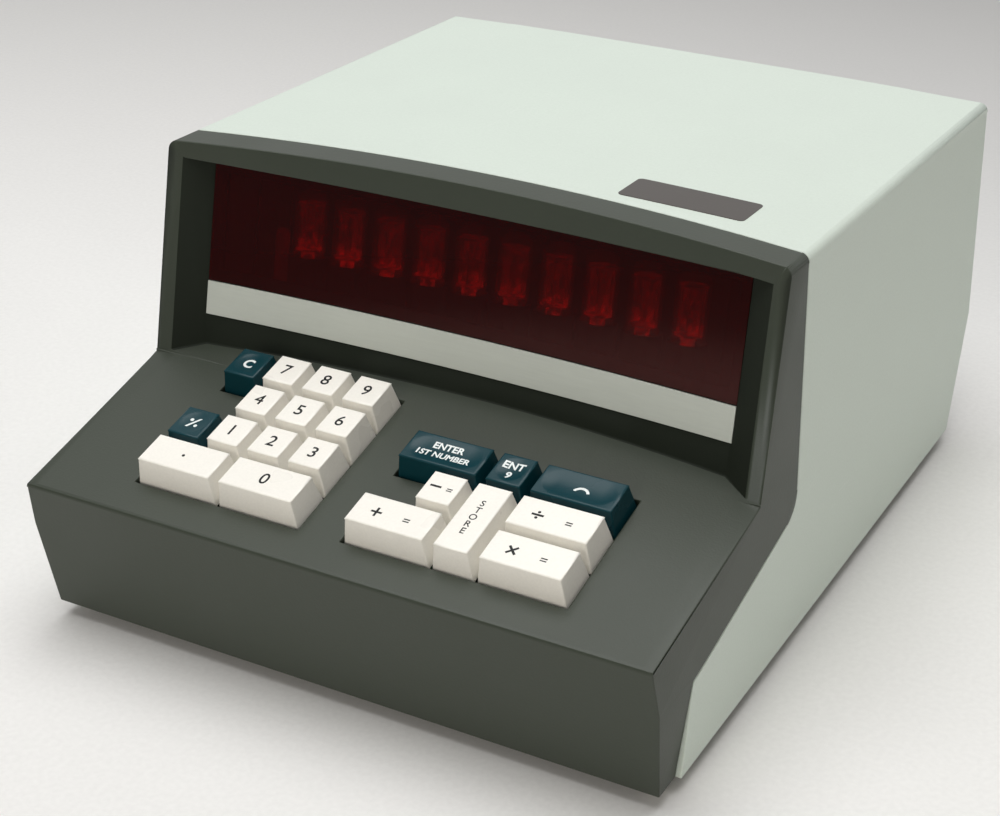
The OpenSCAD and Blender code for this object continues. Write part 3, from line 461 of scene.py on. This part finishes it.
def dress(node, edge, segments=3, corner=40):
    """Stands a copy of a node in its place, merged, with edges rounded by a radius and smooth faces."""
    piece = bpy.data.objects.new(node + "_dressed", frame["nodes"][node].data.copy())
    bpy.context.scene.collection.objects.link(piece)
    alone(piece)
    with editing("SELECT"):
        bpy.ops.mesh.remove_doubles(threshold=MERGE)
        bpy.ops.mesh.dissolve_limited(angle_limit=PLANE_ANGLE)
    if edge:
        round_edges(piece, edge, segments, corner)
    for line, (_, angle, width) in zip(piece.data.edges, edge_facts(piece.data)):
        line.use_edge_sharp = width > WIDE_FACE and angle > SHARP_ANGLE
    bpy.ops.object.shade_smooth_by_angle(angle=math.radians(corner))
    apply_modifier(piece, "WEIGHTED_NORMAL", keep_sharp=True, weight=60)
    finish(piece, SLOT_OF[node])
    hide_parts(node)
    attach(piece, BODY_OF[node])
    return piece


def key_top(node):
    """Middle, right, up-deck and outward directions of a key's top."""
    out = -PRESS_AXIS.normalized()
    right = Vector((1, 0, 0))
    up = out.cross(right)
    spots = [v.co for v in frame["nodes"][node].data.vertices]
    high = max(p.dot(out) for p in spots)
    top = [p for p in spots if p.dot(out) > high - TOP_DEPTH]
    x = (min(p.x for p in top) + max(p.x for p in top)) / 2
    v = (min(p.dot(up) for p in top) + max(p.dot(up) for p in top)) / 2
    return right * x + up * v + out * high, right, up, out


def embolden(piece, grow):
    """Moves the outline of a flat text outwards, its sharp corners at most twice as far."""
    mesh = piece.data
    ways = {(f.vertices[i - 1], f.vertices[i]) for f in mesh.polygons for i in range(len(f.vertices))}
    sides = {}
    for a, b in sorted(ways):
        if (b, a) not in ways:
            along = (mesh.vertices[b].co - mesh.vertices[a].co).normalized()
            for v in (a, b):
                sides.setdefault(v, []).append(Vector((along.y, -along.x, 0)))
    for v, (one, other) in sides.items():
        out = (one + other).normalized()
        mesh.vertices[v].co += out * grow * min(2, 1 / max(out.dot(one), 0.1))


def on_key(piece, node, across, along, tall):
    """Scales a flat legend to its height, lays it on a key's top and gives it thickness."""
    middle, right, up, out = key_top(node)
    spots = [v.co for v in piece.data.vertices]
    low = Vector([min(p[i] for p in spots) for i in range(3)])
    high = Vector([max(p[i] for p in spots) for i in range(3)])
    scale = tall * MM / (high.y - low.y)
    turn = Matrix((right, up, out)).transposed().to_4x4()
    spot = middle + right * across * MM + up * along * MM
    centred = Matrix.Translation(-(low + high) / 2)
    piece.matrix_world = Matrix.Translation(spot) @ turn @ Matrix.Scale(scale, 4) @ centred
    alone(piece)
    bpy.ops.object.transform_apply(location=True, rotation=True, scale=True)
    apply_modifier(piece, "SHRINKWRAP", target=bpy.data.objects[node + "_dressed"], offset=LEGEND_LIFT,
                   wrap_method="NEAREST_SURFACEPOINT", wrap_mode="ABOVE_SURFACE")
    apply_modifier(piece, "SOLIDIFY", thickness=LEGEND_THICK, offset=0)
    with editing("SELECT"):
        bpy.ops.mesh.normals_make_consistent(inside=False)
    finish(piece, "white_ink" if node in BLUE_KEYS else "black_ink")
    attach(piece, BODY_OF[node])


class CalculatorSizes(bpy.types.PropertyGroup):
    """Sizes that a user would change."""
    case_edge: bpy.props.FloatProperty(
        name="Case edge", description="Radius of the case's small edges", default=0.6 * MM, unit="LENGTH")
    key_edge: bpy.props.FloatProperty(
        name="Key edge", description="Radius of a key's upright edges", default=0.7 * MM, unit="LENGTH")
    label_width: bpy.props.FloatProperty(
        name="Label width", description="Width of the bare label plate", default=53 * MM, unit="LENGTH")
    label_depth: bpy.props.FloatProperty(
        name="Label depth", description="Depth of the bare label plate", default=20.5 * MM, unit="LENGTH")
    label_corner: bpy.props.FloatProperty(
        name="Label corner", description="Radius of the label plate's corners", default=3 * MM, unit="LENGTH")
    label_place: bpy.props.FloatVectorProperty(
        name="Label place", description="Middle of the label plate on the cover", size=2,
        default=(78.4 * MM, -18 * MM), unit="LENGTH")


class CalculatorColours(bpy.types.PropertyGroup):
    """Colours that a user would change."""
    bezel: bpy.props.FloatVectorProperty(
        name="Bezel", description="Dark moulding",
        subtype="COLOR", size=4, default=linear("#3A4036"))
    # Colour of the painted shade inside the display recess
    recess: bpy.props.FloatVectorProperty(
        name="Recess", description="Inside of the display recess",
        subtype="COLOR", size=4, default=linear("#1F241C"))
    cover: bpy.props.FloatVectorProperty(
        name="Cover", description="Pale moulding",
        subtype="COLOR", size=4, default=linear("#D8E2D8"))
    white_key: bpy.props.FloatVectorProperty(
        name="White keys", description="Pale key plastic",
        subtype="COLOR", size=4, default=linear("#FBF8F0"))
    blue_key: bpy.props.FloatVectorProperty(
        name="Blue keys", description="Dark key plastic",
        subtype="COLOR", size=4, default=linear("#0C3B43"))
    black_ink: bpy.props.FloatVectorProperty(
        name="Dark legends", description="Legends on white keys",
        subtype="COLOR", size=4, default=linear("#0F1211"))
    white_ink: bpy.props.FloatVectorProperty(
        name="Pale legends", description="Legends on blue keys",
        subtype="COLOR", size=4, default=linear("#EDF3F2"))
    window: bpy.props.FloatVectorProperty(
        name="Window", description="Red acrylic",
        subtype="COLOR", size=4, default=linear("#6E0A0E"))
    strip: bpy.props.FloatVectorProperty(
        name="Strip", description="Bare strip under the window",
        subtype="COLOR", size=4, default=linear("#D2D7CE"))
    label: bpy.props.FloatVectorProperty(
        name="Label", description="Bare plate on the cover",
        subtype="COLOR", size=4, default=linear("#433D38"))
    floor: bpy.props.FloatVectorProperty(
        name="Floor", description="Pale floor",
        subtype="COLOR", size=4, default=linear("#F4F3F1"))


class CALCULATOR_OT_case(bpy.types.Operator):
    """Dresses the bezel, the cover and the rear panel, and paints shade inside the display recess"""
    bl_idname = "calculator.case"
    bl_label = "Case"

    def execute(self, context):
        edge = context.scene.calculator_sizes.case_edge
        self.darken_recess(dress("front_bezel", edge))
        dress("top_cover", edge)
        dress("rear_panel", SHEET_EDGE, 2)
        return {"FINISHED"}

    def darken_recess(self, bezel):
        """Gives the faces inside the display recess a green-black finish that paints the shade falling there."""
        bezel.data.materials.append(FINISH["recess_painted_shade"])
        lean = math.radians(FACE_LEAN)
        for face in bezel.data.polygons:
            x, y, z = face.center / MM
            back, rise = y - FACE_FOOT[0], z - FACE_FOOT[1]
            hollow = math.sqrt(FACE_R ** 2 - x ** 2) - math.sqrt(FACE_R ** 2 - FACE_HALF ** 2)
            deep = back * math.cos(lean) - rise * math.sin(lean) - hollow
            up = back * math.sin(lean) + rise * math.cos(lean)
            on_deck = face.normal.dot(PRESS_AXIS) < -DECK_LEVEL
            inside = LIP_DEPTH < deep < RECESS and LIP_HEIGHT < up < FACE_H
            # Faces inside the recess get the painted shade finish in slot 1
            if inside and abs(x) < FACE_HALF - LIP_WIDTH and not on_deck:
                face.material_index = 1


class CALCULATOR_OT_underside(bpy.types.Operator):
    """Dresses the pan, the feet and the screws"""
    bl_idname = "calculator.underside"
    bl_label = "Underside"

    def execute(self, context):
        dress("base_pan", SHEET_EDGE, 2)
        dress("feet", FOOT_EDGE)
        for node in ("foot_screws", "case_screws", "panel_screws"):
            dress(node, SCREW_EDGE, 2)
        return {"FINISHED"}


class CALCULATOR_OT_display(bpy.types.Operator):
    """Dresses the window, the bare strip and the tubes behind"""
    bl_idname = "calculator.display"
    bl_label = "Display"

    def execute(self, context):
        dress("display_window", WINDOW_EDGE, 2)
        dress("name_strip", STRIP_EDGE, 2)
        for node in ("tube_glass", "tube_sockets", "tube_electrodes", "indicator_lamp"):
            dress(node, 0)
        return {"FINISHED"}


class CALCULATOR_OT_keys(bpy.types.Operator):
    """Dresses the keys"""
    bl_idname = "calculator.keys"
    bl_label = "Keys"

    def execute(self, context):
        for node in KEY_NODES:
            dress(node, context.scene.calculator_sizes.key_edge, 3, 50)
        return {"FINISHED"}


class CALCULATOR_OT_legends(bpy.types.Operator):
    """Puts the numbers, signs and words on the keys"""
    bl_idname = "calculator.legends"
    bl_label = "Legends"

    def execute(self, context):
        for node, lines in LEGENDS.items():
            for n, (text, across, along, tall) in enumerate(lines):
                bpy.ops.object.select_all(action="DESELECT")
                bpy.ops.object.text_add()
                context.object.data.body = text
                context.object.data.resolution_u = 5
                bpy.ops.object.convert(target="MESH")
                piece = context.object
                piece.name = f"legend_{node[4:]}_{n}"
                alone(piece)
                with editing("SELECT"):
                    bpy.ops.mesh.remove_doubles(threshold=TEXT_MERGE)
                embolden(piece, BLUE_KEY_BOLD if node in BLUE_KEYS else WHITE_KEY_BOLD)
                on_key(piece, node, across, along, tall)
        self.arc(context)
        return {"FINISHED"}

    def arc(self, context):
        """The arc sign: the upper part of a circle, widened inwards into a band."""
        bpy.ops.object.select_all(action="DESELECT")
        bpy.ops.mesh.primitive_circle_add(vertices=64, radius=1)
        piece = context.object
        piece.name = "legend_arc_0"
        with editing("SELECT"):
            bpy.ops.mesh.bisect(plane_co=(0, ARC_ENDS, 0), plane_no=(0, 1, 0), clear_inner=True)
            bpy.ops.mesh.select_all(action="SELECT")
            bpy.ops.mesh.extrude_edges_move()
            bpy.ops.transform.resize(value=(ARC_INNER, ARC_INNER, 1), center_override=(0, ARC_CENTRE, 0))
            bpy.ops.mesh.select_all(action="SELECT")
            bpy.ops.mesh.normals_make_consistent(inside=False)
        on_key(piece, "key_arc", *ARC_PLACE)


class CALCULATOR_OT_label(bpy.types.Operator):
    """Lays the bare label plate on the cover"""
    bl_idname = "calculator.label"
    bl_label = "Label plate"

    def execute(self, context):
        sizes = context.scene.calculator_sizes
        x, y = sizes.label_place
        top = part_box("top_cover")[1].z
        bpy.ops.object.select_all(action="DESELECT")
        bpy.ops.mesh.primitive_grid_add(x_subdivisions=24, y_subdivisions=10, size=1, location=(x, y, top))
        piece = context.object
        piece.name = "label_plate"
        piece.scale = (sizes.label_width, sizes.label_depth, 1)
        bpy.ops.object.transform_apply(location=True, rotation=True, scale=True)
        with editing():
            bpy.ops.mesh.select_all(action="DESELECT")
        half_w, half_d = sizes.label_width / 2, sizes.label_depth / 2
        for v in piece.data.vertices:
            off_x, off_y = abs(v.co.x - x) - half_w, abs(v.co.y - y) - half_d
            v.select = abs(off_x) < CORNER_REACH and abs(off_y) < CORNER_REACH
        with editing():
            bpy.ops.mesh.bevel(offset=sizes.label_corner, segments=6, affect="VERTICES", clamp_overlap=False)
        apply_modifier(piece, "SHRINKWRAP", target=bpy.data.objects["top_cover_dressed"], offset=LABEL_LIFT,
                       wrap_method="PROJECT", use_project_z=True, use_negative_direction=True,
                       use_positive_direction=True, wrap_mode="ABOVE_SURFACE")
        apply_modifier(piece, "SOLIDIFY", thickness=LABEL_THICK, offset=-1)
        finish(piece, "label_sheet")
        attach(piece, "case")
        return {"FINISHED"}


class CALCULATOR_OT_rear(bpy.types.Operator):
    """Dresses the inlet, the fuse and the mains switch"""
    bl_idname = "calculator.rear"
    bl_label = "Rear fittings"

    def execute(self, context):
        for node in ("mains_inlet", "inlet_pins", "fuse_holder", "fuse_cap", "power_switch", "power_rocker"):
            dress(node, FITTING_EDGE, 2)
        return {"FINISHED"}


class CALCULATOR_OT_electronics(bpy.types.Operator):
    """Gives the boards and parts inside their finishes"""
    bl_idname = "calculator.electronics"
    bl_label = "Electronics"

    def execute(self, context):
        for node, piece in frame["nodes"].items():
            if node + "_dressed" not in bpy.data.objects:
                finish(piece, SLOT_OF[node])
        return {"FINISHED"}


class CALCULATOR_OT_stage(bpy.types.Operator):
    """Makes the floor, the lights and the camera"""
    bl_idname = "calculator.stage"
    bl_label = "Stage"

    def execute(self, context):
        bpy.ops.object.select_all(action="DESELECT")
        bpy.ops.mesh.primitive_plane_add(size=FLOOR_SIZE)
        floor = context.object
        floor.name = "floor"
        floor.data.materials.append(studio_paper(context.scene.calculator_colours.floor))
        for light in LIGHTS:
            self.lamp(context, *light)
        world = context.scene.world or bpy.data.worlds.new("Studio")
        context.scene.world = world
        world.use_nodes = True
        world.node_tree.nodes.clear()
        self.backdrop(world.node_tree)
        context.scene.view_settings.view_transform = "Standard"
        self.camera(context)
        return {"FINISHED"}

    def backdrop(self, tree):
        """A dim surround that the eye sees paler, as polished faces do towards the back."""
        aim = add_node(tree, "ShaderNodeTexCoord").outputs["Generated"]
        rear = add_node(tree, "ShaderNodeSeparateXYZ", {}, {"Vector": aim}).outputs["Y"]
        pale = add_node(tree, "ShaderNodeMapRange", {"From Max": 0.4, "To Max": SURROUND_MIRRORED},
                        {"Value": rear})
        rays = add_node(tree, "ShaderNodeLightPath").outputs
        shine = add_node(tree, "ShaderNodeMath", {"operation": "MULTIPLY"},
                         {0: pale.outputs[0], 1: rays["Is Glossy Ray"]})
        seen = add_node(tree, "ShaderNodeMath", {"operation": "MULTIPLY_ADD", 1: SURROUND_SEEN},
                        {0: rays["Is Camera Ray"], 2: shine.outputs[0]})
        level = add_node(tree, "ShaderNodeMath", {"operation": "ADD", 1: SURROUND_LIGHT}, {0: seen.outputs[0]})
        sky = add_node(tree, "ShaderNodeBackground", {"Color": (1, 1, 1, 1)}, {"Strength": level.outputs[0]})
        add_node(tree, "ShaderNodeOutputWorld", {}, {"Surface": sky.outputs["Background"]})

    def lamp(self, context, name, place, target, size, power, tint, mirrored):
        """A square softbox turned to a point."""
        bpy.ops.object.light_add(type="AREA", location=place)
        lamp = context.object
        lamp.name = name
        lamp.data.size = size
        lamp.data.energy = power
        lamp.data.color = linear(tint)[:3]
        lamp.rotation_euler = (Vector(target) - Vector(place)).to_track_quat("-Z", "Y").to_euler()
        lamp.visible_glossy = mirrored

    def camera(self, context):
        """The photograph's view, from above on the right."""
        bpy.ops.object.camera_add()
        camera = context.object
        turn = (Matrix.Rotation(math.radians(CAMERA_HEADING), 3, "Z")
                @ Matrix.Rotation(math.radians(90 - CAMERA_TILT), 3, "X")
                @ Matrix.Rotation(math.radians(CAMERA_ROLL), 3, "Z"))
        camera.matrix_world = Matrix.Translation(CAMERA_PLACE) @ turn.to_4x4()
        camera.data.sensor_fit = "HORIZONTAL"
        camera.data.sensor_width = CAMERA_SENSOR
        camera.data.lens = CAMERA_LENS
        camera.data.shift_x, camera.data.shift_y = CAMERA_SHIFT
        camera.data.clip_start = 0.02
        context.scene.camera = camera


OPERATORS = (CALCULATOR_OT_stage, CALCULATOR_OT_case, CALCULATOR_OT_underside, CALCULATOR_OT_display,
             CALCULATOR_OT_keys, CALCULATOR_OT_legends, CALCULATOR_OT_label, CALCULATOR_OT_rear,
             CALCULATOR_OT_electronics)


class CALCULATOR_PT_panel(bpy.types.Panel):
    """Lists the steps and the values"""
    bl_idname = "CALCULATOR_PT_panel"
    bl_label = "Calculator"
    bl_space_type = "VIEW_3D"
    bl_region_type = "UI"
    bl_category = "Calculator"

    def draw(self, context):
        for operator in OPERATORS:
            self.layout.operator(operator.bl_idname)
        for group in (context.scene.calculator_sizes, context.scene.calculator_colours):
            for name in group.__annotations__:
                self.layout.prop(group, name)


CLASSES = (CalculatorSizes, CalculatorColours, *OPERATORS, CALCULATOR_PT_panel)


def register():
    for item in CLASSES:
        bpy.utils.register_class(item)
    bpy.types.Scene.calculator_sizes = bpy.props.PointerProperty(type=CalculatorSizes)
    bpy.types.Scene.calculator_colours = bpy.props.PointerProperty(type=CalculatorColours)


def unregister():
    del bpy.types.Scene.calculator_colours
    del bpy.types.Scene.calculator_sizes
    for item in reversed(CLASSES):
        bpy.utils.unregister_class(item)


def main():
    register()
    for operator in OPERATORS:
        group, step = operator.bl_idname.split(".")
        getattr(getattr(bpy.ops, group), step)()


if __name__ == "__main__":
    main()
